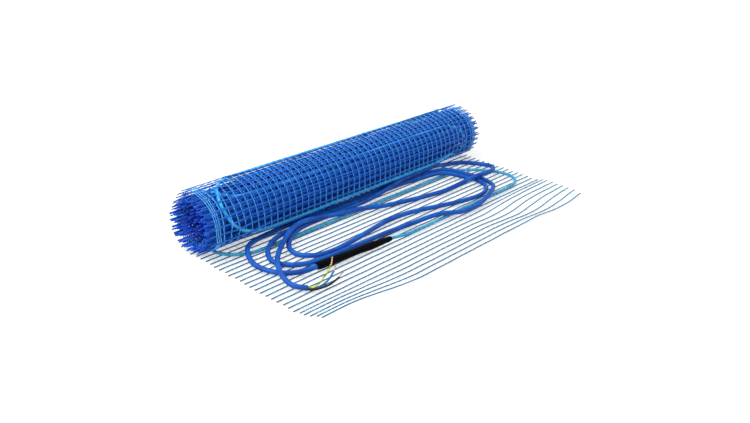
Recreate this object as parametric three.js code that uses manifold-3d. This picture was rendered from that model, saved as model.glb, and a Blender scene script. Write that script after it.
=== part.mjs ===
// Underfloor heating mat, its loose end laid out and the rest still rolled up.
// Millimetres, +Z up. X runs along the roll, across the mat. The laid part reaches towards -Y.
// The origin is the centre of the floor space that the mat covers.

import * as THREE from 'three';
import { mergeGeometries, mergeVertices } from 'three/addons/utils/BufferGeometryUtils.js';
import Module from 'manifold-3d';

// Driving dimensions of the woven mesh. Every third warp thread is a bar of the laid sheet. The hem is the
// mesh left in front of the first weft.
const MAT_WIDTH = 500;
const FRINGE = 10;
const WARP_PITCH = 10;
const WARPS_PER_BAR = 3;
const WEFT_PITCH = 8.35;
const WEFT_COUNT = 24;
const WEFT_WIDTH = 1.3;
const WARP_WIDTH = 1;
const MESH_THICKNESS = 1.5;
const HEM = 2;
const CUT_OVERSHOOT = 1;

// The curl of the loose edge, highest at its left corner.
const CURL_HEIGHT = 13;
const CURL_DEPTH = 40;
const CURL_FULL_X = -225;
const CURL_END_X = -90;

// Driving dimensions of the roll.
const ROLL_RADIUS = 35.5;
const TURN_PITCH = 5;
const BORE_RADIUS = 5.5;
const TURN_GROOVE = 2.5;
const GROOVE_DEPTH = 4;
const ROLL_SIDES = 48;
const FIRST_WEFT = 17.9;

// Cables, the sleeve between them and the lead's cores.
const SEAT_GAP = 0.3;
const CABLE_DIAMETER = 4;
const LEAD_DIAMETER = 6;
const SLEEVE_DIAMETER = 9.5;
const SLEEVE_END_DIAMETER = 6.6;
const SLEEVE_TAPER = 9;
const SLEEVE_ROUNDING = 1;
const CORE_DIAMETER = 2.2;
const COPPER_DIAMETER = 1.3;
const CORE_RING = 1.4;

// How finely round things are faceted.
const CABLE_SIDES = 8;
const LEAD_SIDES = 10;
const SLEEVE_SIDES = 16;
const CABLE_STEPS_A_POINT = 2;
const CORE_STEPS = 9;

// Places worked out from the sizes above. The roll touches the floor along the line y = ROLL_Y.
const LAID_REACH = FIRST_WEFT + (WEFT_COUNT - 1) * WEFT_PITCH;
const FRONT_EDGE = LAID_REACH + WEFT_WIDTH / 2 + HEM;
const ROLL_Y = (FRONT_EDGE - ROLL_RADIUS) / 2;
const WARP_SPAN = MAT_WIDTH - 2 * FRINGE;
const BAR_PITCH = WARP_PITCH * WARPS_PER_BAR;
const BAR_COUNT = Math.floor(WARP_SPAN / BAR_PITCH) + 1;
const LEAD_LEVEL = MESH_THICKNESS + SEAT_GAP + LEAD_DIAMETER / 2;
const CABLE_LEVEL = MESH_THICKNESS + SEAT_GAP + CABLE_DIAMETER / 2;
const SLEEVE_LEVEL = MESH_THICKNESS + SEAT_GAP + SLEEVE_DIAMETER / 2;

// The sleeve lies between the end of the heating cable and the start of the lead.
const SLEEVE_LEAD_END = [-172, -123.8];
const SLEEVE_CABLE_END = [-58.5, -133.2];

// Each point is x, y from the roll's floor line, and the lift above lying flat on the mesh.
const CABLE_POINTS = [
  [-58.2, -133.2, SLEEVE_LEVEL - CABLE_LEVEL],
  [-45, -134.6, 1.6],
  [-28, -135.5, 0],
  [60, -135.5, 0],
  [160, -135.5, 0],
  [194, -134.5, 0],
  [213, -129, 0],
  [224, -116, 0],
  [225, -100, 0],
  [215, -81, 0],
  [200, -63, 0],
  [180, -51.5, 0],
  [150, -50.5, 0],
  [60, -50.5, 0],
  [-60, -50.5, 0],
  [-180, -50.5, 0],
  [-200, -48.5, 0],
  [-214, -42, 0],
  [-224, -32, 0],
  [-229, -22, 0],
];

const LEAD_POINTS = [
  [-172.3, -123.8, SLEEVE_LEVEL - LEAD_LEVEL],
  [-190, -121, 1.2],
  [-206, -109.5, 0.2],
  [-216, -91, 0],
  [-217.5, -70, 0.8],
  [-208.5, -50.5, 5.2],
  [-190, -35.5, 2.6],
  [-160, -27, 0.2],
  [-110, -24.8, 0],
  [0, -24.8, 0],
  [90, -24.8, 0],
  [130, -30.5, 0.5],
  [159, -46.5, 4.7],
  [175.5, -67, 1],
  [181.5, -89, 0.2],
  [177.5, -110.5, 0.6],
  [162, -126.5, 4.3],
  [138, -137, 4.8],
  [105, -143.8, 0.8],
  [66, -143.5, 1.8],
  [35, -133.5, 5.2],
  [0, -122.5, 0.4],
  [-50, -117.5, 0],
  [-125, -115, 0],
  [-170, -110.3, 0],
  [-189, -99.5, 0],
  [-198, -81, 0],
  [-189, -62.5, 2.4],
  [-168, -49.5, 4.8],
  [-136, -38, 0.6],
  [-95, -31.6, 0],
  [0, -31.6, 0],
  [85, -32.4, 0],
  [118, -38.5, 1],
  [146, -51, 4.7],
  [164, -69.5, 0.7],
  [171.5, -91.5, 0],
  [164.5, -112.5, 0],
  [142, -125, 0],
  [105, -123, 0],
  [60, -111, 0],
  [20, -99.5, 0],
  [-20, -96, 0],
  [-75, -102.5, 0],
  [-128, -107.3, 0],
  [-151, -102.5, 0],
  [-166, -87, 0],
  [-162, -68, 1.2],
  [-143, -54.5, 4.7],
  [-115, -43.5, 3],
  [-70, -38.2, 0],
  [0, -38.2, 0],
  [38, -37.4, 3.6],
  [72, -33.5, 6.6],
  [125, -31.8, 7.5],
  [155, -31.4, 6.5],
  [183, -30.5, 1.2],
  [205, -36, 0.3],
  [219, -49, 0],
  [226.5, -67, 1.2],
  [222.5, -84, 3.8],
  [203, -93, 5.6],
  [172, -92, 6.8],
  [140, -89, 3.4],
  [105, -85.5, 0.2],
  [55, -76, 0],
  [10, -65, 0.2],
  [-30, -55.5, 4],
  [-70, -47, 4.8],
  [-100, -43.7, 8.2],
  [-125, -46, 11],
  [-148, -54, 10.4],
  [-172, -67, 5.4],
  [-190, -81, 6.6],
  [-207, -99, 7],
  [-217, -117, 4.2],
  [-218.5, -135, 0.7],
  [-210, -149, 0],
];

// The cores leave the lead's cut end and fan out upwards, each with its stripped tip.
const CORES = [
  {
    name: 'core_earth',
    color: 0x9fb04a,
    turn: 90,
    bow: [-190, -151, 9.5],
    tip: [-171, -144.5, 17],
    end: [-164, -139, 22],
  },
  {
    name: 'core_neutral',
    color: 0x1c4a9c,
    turn: 210,
    bow: [-190, -156, 7],
    tip: [-173, -150.5, 12],
    end: [-165.5, -146.5, 16],
  },
  {
    name: 'core_live',
    color: 0x2a211f,
    turn: 330,
    bow: [-189, -160, 5.3],
    tip: [-173, -158, 7.5],
    end: [-164, -156.5, 10.5],
  },
];

// The turn of cable that shows on the roll: x, and the angle about the roll's axis, which goes up from the
// floor line at the roll's back.
const WOUND_POINTS = [
  [205, 162],
  [100, 158],
  [0, 156],
  [-100, 155],
  [-160, 156],
  [-190, 164],
  [-212, 185],
  [-223, 210],
  [-225, 235],
  [-217, 262],
  [-198, 284],
  [-172, 296],
  [-135, 300],
  [-60, 299],
  [40, 298],
  [150, 298],
];

const COLORS = {
  mesh: 0x1450b4,
  sheet: 0x2f5f93,
  cable: 0x35a3d6,
  lead: 0x1d55b8,
  sleeve: 0x131417,
  copper: 0xc98f74,
};

const wasm = await Module();
wasm.setup();

const part = new THREE.Group();

function addPiece(name, geometry, color, roughness, metalness = 0) {
  const material = new THREE.MeshStandardMaterial({ color, roughness, metalness });
  const mesh = new THREE.Mesh(geometry, material);
  mesh.name = name;
  part.add(mesh);
  return mesh;
}

// A curve whose steps fall evenly between its chosen points, so that bends get more of them.
class RouteCurve extends THREE.CatmullRomCurve3 {
  getUtoTmapping(u) {
    return u;
  }
}

function roundSection(diameter, sides) {
  const section = new THREE.Shape();
  for (let i = 0; i < sides; i += 1) {
    const angle = ((i + 0.5) / sides) * 2 * Math.PI;
    const x = (diameter / 2) * Math.cos(angle);
    const y = (diameter / 2) * Math.sin(angle);
    if (i === 0) section.moveTo(x, y);
    else section.lineTo(x, y);
  }
  section.closePath();
  return section;
}

function tubeAlong(points, diameter, sides, steps) {
  return new THREE.ExtrudeGeometry(roundSection(diameter, sides), {
    steps,
    extrudePath: new RouteCurve(points, false, 'centripetal'),
  });
}

function cableAlong(points) {
  return tubeAlong(points, CABLE_DIAMETER, CABLE_SIDES, (points.length - 1) * CABLE_STEPS_A_POINT);
}

function makeLead() {
  return tubeAlong(layRoute(LEAD_POINTS, LEAD_LEVEL), LEAD_DIAMETER, LEAD_SIDES, LEAD_POINTS.length - 1);
}

function layRoute(points, level) {
  return points.map(([x, y, lift]) => new THREE.Vector3(x, ROLL_Y + y, level + lift));
}

// How far the mesh stands off the floor at a place on the laid part.
function curlAt(x, fromEdge) {
  const along = THREE.MathUtils.smoothstep(-x, -CURL_END_X, -CURL_FULL_X);
  const across = Math.max(0, 1 - fromEdge / CURL_DEPTH);
  return CURL_HEIGHT * along * across ** 1.2;
}

function toSolid(geometry) {
  const bare = geometry.clone();
  bare.deleteAttribute('normal');
  bare.deleteAttribute('uv');
  const merged = mergeVertices(bare);
  return new wasm.Manifold(new wasm.Mesh({
    numProp: 3,
    vertProperties: new Float32Array(merged.getAttribute('position').array),
    triVerts: new Uint32Array(merged.getIndex().array),
  }));
}

function toGeometry(solid) {
  const { vertProperties, triVerts } = solid.getMesh();
  const geometry = new THREE.BufferGeometry();
  geometry.setAttribute('position', new THREE.BufferAttribute(vertProperties, 3));
  geometry.setIndex(new THREE.BufferAttribute(triVerts, 1));
  geometry.computeVertexNormals();
  return geometry;
}

// The open spans between strands of one direction, and the two open spans outside them.
function gapsBetween(centres, strandWidth, low, high) {
  const half = strandWidth / 2;
  const starts = [low - CUT_OVERSHOOT, ...centres.map((c) => c + half)];
  const ends = [...centres.map((c) => c - half), high + CUT_OVERSHOOT];
  return starts.map((start, i) => [start, ends[i]]);
}

// The laid sheet: every opening of the weave is cut through one plate, so that wefts, fringe ends and warp
// bars stay as one lattice, fused where they cross. Its loose edge is then curled up.
function makeSheet() {
  const lastWeft = ROLL_Y - LAID_REACH;
  const rollGap = Math.sqrt((ROLL_RADIUS + SEAT_GAP) ** 2 - (ROLL_RADIUS - MESH_THICKNESS) ** 2);
  const back = ROLL_Y - rollGap;
  const front = ROLL_Y - FRONT_EDGE;
  const barPlaces = Array.from({ length: BAR_COUNT }, (_, i) => (i - (BAR_COUNT - 1) / 2) * BAR_PITCH);
  const weftPlaces = Array.from({ length: WEFT_COUNT }, (_, k) => lastWeft + k * WEFT_PITCH);
  const columns = gapsBetween(barPlaces, WARP_WIDTH, -MAT_WIDTH / 2, MAT_WIDTH / 2);
  const rows = gapsBetween(weftPlaces, WEFT_WIDTH, front, back);

  const openings = [];
  for (const [x0, x1] of columns) {
    for (const [y0, y1] of rows) {
      const opening = new THREE.BoxGeometry(x1 - x0, y1 - y0, MESH_THICKNESS + 2 * CUT_OVERSHOOT);
      opening.translate((x0 + x1) / 2, (y0 + y1) / 2, MESH_THICKNESS / 2);
      openings.push(opening);
    }
  }
  const plate = new THREE.BoxGeometry(MAT_WIDTH, back - front, MESH_THICKNESS);
  plate.translate(0, (back + front) / 2, MESH_THICKNESS / 2);
  const sheet = toGeometry(toSolid(plate).subtract(toSolid(mergeGeometries(openings))));

  const corners = sheet.getAttribute('position');
  for (let i = 0; i < corners.count; i += 1) {
    const fromEdge = Math.max(0, corners.getY(i) - lastWeft);
    corners.setZ(i, corners.getZ(i) + curlAt(corners.getX(i), fromEdge));
  }
  return sheet;
}

// The roll is one turned solid. A groove between turns shows them on both ends.
function makeRoll() {
  const half = WARP_SPAN / 2;
  const turns = Math.round((ROLL_RADIUS - BORE_RADIUS) / TURN_PITCH);
  const end = [];
  for (let i = 0; i < turns; i += 1) {
    const inner = BORE_RADIUS + i * TURN_PITCH;
    const outer = i === turns - 1 ? ROLL_RADIUS : inner + TURN_PITCH - TURN_GROOVE;
    end.push([inner, half], [outer, half]);
    if (i < turns - 1) end.push([outer + TURN_GROOVE / 2, half - GROOVE_DEPTH]);
  }
  const start = end.map(([r, x]) => [r, -x]).reverse();
  const outline = [...start, ...end, start[0]].map(([r, x]) => new THREE.Vector2(r, x)).reverse();
  const turned = new THREE.LatheGeometry(outline, ROLL_SIDES);
  turned.rotateZ(-Math.PI / 2);
  turned.translate(0, ROLL_Y, ROLL_RADIUS);
  return turned;
}

function makeSleeve() {
  const from = new THREE.Vector3(SLEEVE_LEAD_END[0], ROLL_Y + SLEEVE_LEAD_END[1], SLEEVE_LEVEL);
  const to = new THREE.Vector3(SLEEVE_CABLE_END[0], ROLL_Y + SLEEVE_CABLE_END[1], SLEEVE_LEVEL);
  const length = from.distanceTo(to);
  const outline = [
    new THREE.Vector2(0, 0),
    new THREE.Vector2(SLEEVE_DIAMETER / 2 - SLEEVE_ROUNDING, 0),
    new THREE.Vector2(SLEEVE_DIAMETER / 2, SLEEVE_TAPER / 2),
    new THREE.Vector2(SLEEVE_DIAMETER / 2, length - SLEEVE_TAPER),
    new THREE.Vector2(SLEEVE_END_DIAMETER / 2, length),
    new THREE.Vector2(0, length),
  ];
  const sleeve = new THREE.LatheGeometry(outline, SLEEVE_SIDES);
  const turn = new THREE.Quaternion();
  turn.setFromUnitVectors(new THREE.Vector3(0, 1, 0), to.clone().sub(from).normalize());
  sleeve.applyQuaternion(turn);
  sleeve.translate(from.x, from.y, from.z);
  return sleeve;
}

// A place on the wound cable's centre line, which lies on the roll under its outermost mesh.
function onRoll([x, angle]) {
  const radius = ROLL_RADIUS + SEAT_GAP + CABLE_DIAMETER / 2;
  const radians = THREE.MathUtils.degToRad(angle);
  return new THREE.Vector3(x, ROLL_Y + radius * Math.sin(radians), ROLL_RADIUS - radius * Math.cos(radians));
}

function addCores() {
  const route = layRoute(LEAD_POINTS, LEAD_LEVEL);
  const end = route[route.length - 1];
  const along = end.clone().sub(route[route.length - 2]).normalize();
  const side = new THREE.Vector3().crossVectors(along, new THREE.Vector3(0, 0, 1)).normalize();
  const up = new THREE.Vector3().crossVectors(side, along);
  for (const core of CORES) {
    const turn = THREE.MathUtils.degToRad(core.turn);
    const offset = side.clone().multiplyScalar(CORE_RING * Math.cos(turn));
    offset.addScaledVector(up, CORE_RING * Math.sin(turn));
    const start = end.clone().addScaledVector(along, SEAT_GAP).add(offset);
    const lead = start.clone().addScaledVector(along, CORE_DIAMETER * 2);
    const bow = new THREE.Vector3(core.bow[0], ROLL_Y + core.bow[1], core.bow[2]);
    const tip = new THREE.Vector3(core.tip[0], ROLL_Y + core.tip[1], core.tip[2]);
    const stripped = new THREE.Vector3(core.end[0], ROLL_Y + core.end[1], core.end[2]);
    const bend = [start, lead, bow, tip];
    addPiece(core.name, tubeAlong(bend, CORE_DIAMETER, CABLE_SIDES, CORE_STEPS), core.color, 0.45);
    const outward = stripped.clone().sub(tip).normalize();
    const bare = tip.clone().addScaledVector(outward, SEAT_GAP);
    addPiece(
      core.name.replace('core', 'copper'),
      tubeAlong([bare, stripped], COPPER_DIAMETER, CABLE_SIDES, 1),
      COLORS.copper,
      0.35,
      1,
    );
  }
}

addPiece('mesh_sheet', makeSheet(), COLORS.sheet, 0.6);
addPiece('mesh_roll', makeRoll(), COLORS.mesh, 0.6);
addPiece('heating_cable', cableAlong(layRoute(CABLE_POINTS, CABLE_LEVEL)), COLORS.cable, 0.4);
addPiece('heating_cable_wound', cableAlong(WOUND_POINTS.map(onRoll)), COLORS.cable, 0.4);
addPiece('splice_sleeve', makeSleeve(), COLORS.sleeve, 0.7);
addPiece('cold_lead', makeLead(), COLORS.lead, 0.4);
addCores();

export default part;
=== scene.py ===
# %% [markdown]
# # A heating mat, part rolled up and part laid out
# The real thing is an open mesh of coated glass threads, half a metre wide, with a thin heating cable
# stitched on it to and fro. A thicker cold lead joins the cable at a black sleeve. This lesson weaves the
# mesh flat, winds it up, and lays the cables on it. Everything is in metres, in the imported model's frame.

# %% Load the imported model
import bmesh
import bpy
import math
import numpy as np
from mathutils import Matrix, Vector


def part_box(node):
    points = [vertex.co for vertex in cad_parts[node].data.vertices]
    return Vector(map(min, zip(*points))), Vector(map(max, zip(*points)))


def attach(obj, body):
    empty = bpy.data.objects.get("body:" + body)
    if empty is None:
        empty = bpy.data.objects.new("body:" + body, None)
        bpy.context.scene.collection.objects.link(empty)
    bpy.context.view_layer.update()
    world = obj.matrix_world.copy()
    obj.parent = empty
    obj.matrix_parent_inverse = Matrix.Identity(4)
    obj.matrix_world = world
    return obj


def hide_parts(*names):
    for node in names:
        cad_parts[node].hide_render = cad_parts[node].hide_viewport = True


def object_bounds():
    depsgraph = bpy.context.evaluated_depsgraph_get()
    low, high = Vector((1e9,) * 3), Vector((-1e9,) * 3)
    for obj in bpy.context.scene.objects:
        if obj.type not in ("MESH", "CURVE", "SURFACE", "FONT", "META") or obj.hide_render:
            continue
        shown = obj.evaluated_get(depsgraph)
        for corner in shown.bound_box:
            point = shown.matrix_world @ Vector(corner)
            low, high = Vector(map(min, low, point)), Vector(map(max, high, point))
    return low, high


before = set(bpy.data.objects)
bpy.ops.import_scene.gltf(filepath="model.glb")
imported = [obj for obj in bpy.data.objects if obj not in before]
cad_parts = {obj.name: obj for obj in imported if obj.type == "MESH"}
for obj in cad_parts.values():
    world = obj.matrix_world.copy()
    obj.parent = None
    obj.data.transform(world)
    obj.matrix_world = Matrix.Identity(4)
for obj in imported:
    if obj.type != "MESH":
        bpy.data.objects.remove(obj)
cad_low, cad_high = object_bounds()
print("the packed model spans", [round(v, 4) for v in cad_high - cad_low], "m")

# %% [markdown]
# The sizes below are those of the real mat. The roll's own centre line and radius are read from the
# imported solids, so the looks always sit where the imported shapes are.

# %% Sizes of the real mat
MM = 0.001
roll_low, roll_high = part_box("mesh_roll")
ROLL_RADIUS = (roll_high.z - roll_low.z) / 2
ROLL_Y = (roll_low.y + roll_high.y) / 2
HALF_WIDTH = cad_high.x
FRINGE = 10 * MM
WARP_PITCH = 10 * MM
WEFT_PITCH = 8.35 * MM
LAID_WEFTS = 24
FIRST_WEFT = 17.9 * MM
HEM = 3 * MM
MESH_LEVEL = 0.75 * MM
MESH_TOP = 1.5 * MM
WEFT_WIDTH = 2.0 * MM
WEFT_HEIGHT = 1.15 * MM
THREAD_DIAMETER = 0.5 * MM
LAID_THREAD = 0.3 * MM
CABLE_DIAMETER = 4 * MM
LEAD_DIAMETER = 6 * MM
SLEEVE_DIAMETER = 9.5 * MM
CORE_DIAMETER = 2.2 * MM
COPPER_DIAMETER = 1.3 * MM
SEAT_GAP = 0.3 * MM
print("roll radius", round(ROLL_RADIUS, 4), "m, its axis at y =", round(ROLL_Y, 4), "m")

# %% [markdown]
# ## The camera
# The mat's straight edges and the roll's outline fix where the photo was taken from: in front of the
# mat's left end, a little above it. A camera could be aimed with a constraint, but three angles say the
# same in plain numbers: a bearing, a height above the horizon and a small roll.

# %% Place the camera
CAMERA_AIM = Vector((-6.22, 27.34, 0)) * MM
CAMERA_DISTANCE = 1.09266
CAMERA_BEARING = math.radians(-49.6)
CAMERA_HEIGHT = math.radians(24.83)
CAMERA_ROLL = math.radians(3.63)
FOCAL_LENGTH = 41.1
SENSOR_WIDTH = 36

back = Vector((
    math.sin(CAMERA_BEARING) * math.cos(CAMERA_HEIGHT),
    -math.cos(CAMERA_BEARING) * math.cos(CAMERA_HEIGHT),
    math.sin(CAMERA_HEIGHT),
))
level_right = Vector((math.cos(CAMERA_BEARING), math.sin(CAMERA_BEARING), 0))
level_up = back.cross(level_right)
right = level_right * math.cos(CAMERA_ROLL) + level_up * math.sin(CAMERA_ROLL)
up = level_up * math.cos(CAMERA_ROLL) - level_right * math.sin(CAMERA_ROLL)
bpy.ops.object.camera_add()
camera = bpy.context.object
camera.name = "camera"
camera_turn = Matrix((right, up, back)).transposed().to_4x4()
camera.matrix_world = Matrix.Translation(CAMERA_AIM + back * CAMERA_DISTANCE) @ camera_turn
camera.data.lens = FOCAL_LENGTH
camera.data.sensor_width = SENSOR_WIDTH
camera.data.clip_start = 0.01
bpy.context.scene.camera = camera
print("the camera stands at", [round(v, 3) for v in camera.location])

# %% [markdown]
# ## Routes and tubes
# A cable is a round section swept along a route. The route bends smoothly through a few given points. A
# Bezier curve could do that, but the solids follow a centripetal spline through the same points, so the
# same spline is used here and both lie in one place.

# %% A smooth route through chosen points
def smooth_route(points, steps):
    chosen = [np.array(p, float) for p in points]
    ends = [2 * chosen[0] - chosen[1], *chosen, 2 * chosen[-1] - chosen[-2]]
    line = []
    for a, b, c, d in zip(ends, ends[1:], ends[2:], ends[3:]):
        knots = np.cumsum([0, *(np.linalg.norm(q - p) ** 0.5 for p, q in ((a, b), (b, c), (c, d)))])
        for t in np.linspace(knots[1], knots[2], steps, endpoint=False):
            row = [a, b, c, d]
            for level in (1, 2, 3):
                row = [
                    (p * (knots[i + level] - t) + q * (t - knots[i])) / (knots[i + level] - knots[i])
                    for i, (p, q) in enumerate(zip(row, row[1:]))
                ]
            line.append(row[0])
    line.append(chosen[-1])
    return np.array(line)


def run_along(line):
    return np.concatenate([[0], np.cumsum(np.linalg.norm(np.diff(line, axis=0), axis=1))])


hump = smooth_route([(0, 0), (1, 1), (2, 0)], 9)
print("a hump of three points is", round(float(run_along(hump)[-1]), 3), "long in", len(hump), "places")

# %% [markdown]
# A curve object with a round bevel would sweep a tube too. Mesh code is used instead, because a cable
# needs a UV map whose u runs along it in metres, so that a stripe can follow every bend, and because the
# sleeve needs another radius at each ring.

# %% A tube along a route
def tube(name, line, radii, sides=12):
    line = np.asarray(line, float)
    radii = np.broadcast_to(radii, len(line))
    along = np.gradient(line, axis=0)
    along /= np.linalg.norm(along, axis=1)[:, None]
    side = np.cross(along[0], (0.0, 0.0, 1.0))
    rings = []
    for place, way, radius in zip(line, along, radii):
        side = side - way * side.dot(way)
        side /= np.linalg.norm(side)
        over = np.cross(side, way)
        turn = np.linspace(0, 2 * math.pi, sides, endpoint=False)[:, None]
        rings.append(place + radius * (np.cos(turn) * side + np.sin(turn) * over))
    verts = np.concatenate(rings)
    steps = run_along(line)
    faces, uvs = [], []
    for i in range(len(line) - 1):
        for j in range(sides):
            k = (j + 1) % sides
            faces.append((i * sides + j, i * sides + k, (i + 1) * sides + k, (i + 1) * sides + j))
            low, high = j / sides, (j + 1) / sides
            uvs += [(steps[i], low), (steps[i], high), (steps[i + 1], high), (steps[i + 1], low)]
    last = (len(line) - 1) * sides
    faces.append(tuple(range(sides - 1, -1, -1)))
    faces.append(tuple(range(last, last + sides)))
    uvs += [(steps[0], 0.5)] * sides + [(steps[-1], 0.5)] * sides
    mesh = bpy.data.meshes.new(name)
    mesh.from_pydata(verts.tolist(), [], faces)
    layer = mesh.uv_layers.new(name="UVMap")
    layer.data.foreach_set("uv", np.array(uvs, np.float32).ravel())
    mesh.shade_smooth()
    mesh.polygons[len(faces) - 1].use_smooth = False
    mesh.polygons[len(faces) - 2].use_smooth = False
    piece = bpy.data.objects.new(name, mesh)
    bpy.context.scene.collection.objects.link(piece)
    return piece


print("a tube has a ring of faces for each step of its route, and two caps")

# %% [markdown]
# ## The cold lead
# The lead is one 6 mm cable, about 2.7 m long, thrown down in three loose loops. It could be simulated, but
# its loops are to lie as they do on the real mat, so its points are listed one by one. It lies on the mesh,
# and where it crosses itself it passes over in a long low hump. Each row below is x, the distance in front
# of the roll's floor line, and how far the lead is lifted off the mesh, in millimetres.

# %% Lay the cold lead
SLEEVE_LEVEL = MESH_TOP + SEAT_GAP + SLEEVE_DIAMETER / 2
LEAD_LEVEL = MESH_TOP + SEAT_GAP + LEAD_DIAMETER / 2
SLEEVE_LIFT = (SLEEVE_LEVEL - LEAD_LEVEL) / MM
LEAD_POINTS = [
    (-172.3, -123.8, SLEEVE_LIFT), (-190, -121, 1.2), (-206, -109.5, 0.2), (-216, -91, 0),
    (-217.5, -70, 0.8), (-208.5, -50.5, 5.2), (-190, -35.5, 2.6), (-160, -27, 0.2), (-110, -24.8, 0),
    (0, -24.8, 0), (90, -24.8, 0), (130, -30.5, 0.5), (159, -46.5, 4.7), (175.5, -67, 1), (181.5, -89, 0.2),
    (177.5, -110.5, 0.6), (162, -126.5, 4.3), (138, -137, 4.8), (105, -143.8, 0.8), (66, -143.5, 1.8),
    (35, -133.5, 5.2), (0, -122.5, 0.4), (-50, -117.5, 0), (-125, -115, 0), (-170, -110.3, 0),
    (-189, -99.5, 0), (-198, -81, 0), (-189, -62.5, 2.4), (-168, -49.5, 4.8), (-136, -38, 0.6),
    (-95, -31.6, 0), (0, -31.6, 0), (85, -32.4, 0), (118, -38.5, 1), (146, -51, 4.7), (164, -69.5, 0.7),
    (171.5, -91.5, 0), (164.5, -112.5, 0), (142, -125, 0), (105, -123, 0), (60, -111, 0), (20, -99.5, 0),
    (-20, -96, 0), (-75, -102.5, 0), (-128, -107.3, 0), (-151, -102.5, 0), (-166, -87, 0),
    (-162, -68, 1.2), (-143, -54.5, 4.7), (-115, -43.5, 3), (-70, -38.2, 0), (0, -38.2, 0),
    (38, -37.4, 3.6), (72, -33.5, 6.6), (125, -31.8, 7.5), (155, -31.4, 6.5), (183, -30.5, 1.2),
    (205, -36, 0.3), (219, -49, 0), (226.5, -67, 1.2), (222.5, -84, 3.8), (203, -93, 5.6),
    (172, -92, 6.8), (140, -89, 3.4), (105, -85.5, 0.2), (55, -76, 0), (10, -65, 0.2),
    (-30, -55.5, 4), (-70, -47, 4.8), (-100, -43.7, 8.2), (-125, -46, 11), (-148, -54, 10.4),
    (-172, -67, 5.4), (-190, -81, 6.6), (-207, -99, 7), (-217, -117, 4.2), (-218.5, -135, 0.7),
    (-210, -149, 0),
]


def on_mesh(points, level):
    return [(x * MM, ROLL_Y + y * MM, level + lift * MM) for x, y, lift in points]


lead_line = smooth_route(on_mesh(LEAD_POINTS, LEAD_LEVEL), 9)
lead_line[:, 2] = np.maximum(lead_line[:, 2], LEAD_LEVEL - SEAT_GAP)
LEAD_SIDES = 16
lead = tube("cold_lead_cable", lead_line, LEAD_DIAMETER / 2, LEAD_SIDES)

# %% [markdown]
# ## Materials
# Every finish below starts from what the real one is. Colours are sRGB values, as a colour picker gives
# them, and one function turns them to the linear values that Blender mixes. One more function adds a
# shader node with its settings and links. A pattern's scale is one over its real size, because a noise
# texture draws one cell in each metre at scale one.

# %% Colour and node helpers
def linear(hex_colour):
    parts = [int(hex_colour[i:i + 2], 16) / 255 for i in (1, 3, 5)]
    return (*[c / 12.92 if c <= 0.04045 else ((c + 0.055) / 1.055) ** 2.4 for c in parts], 1.0)


def node(tree, kind, inputs=(), stops=(), **settings):
    made = tree.nodes.new("ShaderNode" + kind)
    for name, value in settings.items():
        setattr(made, name, value)
    for name, value in dict(inputs).items():
        if isinstance(value, bpy.types.NodeSocket):
            tree.links.new(value, made.inputs[name])
        else:
            made.inputs[name].default_value = value
    if stops:
        marks = made.color_ramp.elements
        marks[0].position = stops[0][0]
        marks[1].position = stops[-1][0]
        marks[0].color = linear(stops[0][1])
        marks[1].color = linear(stops[-1][1])
        for place, colour in stops[1:-1]:
            marks.new(place).color = linear(colour)
    return made


def finish_named(name, **shader):
    material = bpy.data.materials.new(name)
    material.use_nodes = True
    surface = material.node_tree.nodes["Principled BSDF"]
    for socket, value in shader.items():
        surface.inputs[socket.replace("_", " ")].default_value = value
    return material, material.node_tree, surface


print("the middle grey #808080 is", round(linear("#808080")[0], 3), "in linear light")

# %% [markdown]
# ** PVC-coated glass roving.** The weft strands are flat bundles of glass fibre, dipped in blue PVC. To the eye they are satin blue strands with fine ridges, deeper in colour where the coating pooled. On the roll their colour holds painted light and shade. Light that reaches the roll's turns has passed turn after turn of blue mesh, so they are painted a purer, deeper blue than the laid strands, as painted bounce light. The inner turns get painted shade, and the innermost turn of the tight band gets a painted highlight for the light it catches through the open eye. Bounced light alone would need many more bounces to show that, so this painted light and shade is read from the distance to the roll's axis.
# Cut ends of the outer turns are darker. The fibres are about 0.1 mm thick, too fine to show, so their
# ridges are drawn eleven times as coarse.

# %% Coated roving
DEEPEST = 6 * MM
OUTERMOST = ROLL_RADIUS + 5 * MM
POOL_SIZE = 6.25 * MM
POOL_STRENGTH = 0.36
RIDGE_SIZE = 1.1111 * MM
RIDGE_HEIGHT = 0.2 * MM
DARK_TIP_DEPTH = (0.74, 0.84)


def depth_in_roll(tree, place):
    from_axis = node(tree, "VectorMath", {0: place, 1: (0, ROLL_Y, ROLL_RADIUS)}, operation="SUBTRACT")
    square_on = node(tree, "VectorMath", {0: from_axis.outputs[0], 1: (0, 1, 1)}, operation="MULTIPLY")
    radius = node(tree, "VectorMath", {0: square_on.outputs[0]}, operation="LENGTH").outputs["Value"]
    share = node(tree, "MapRange", {"Value": radius, "From Min": DEEPEST, "From Max": OUTERMOST})
    return share.outputs["Result"]


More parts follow.
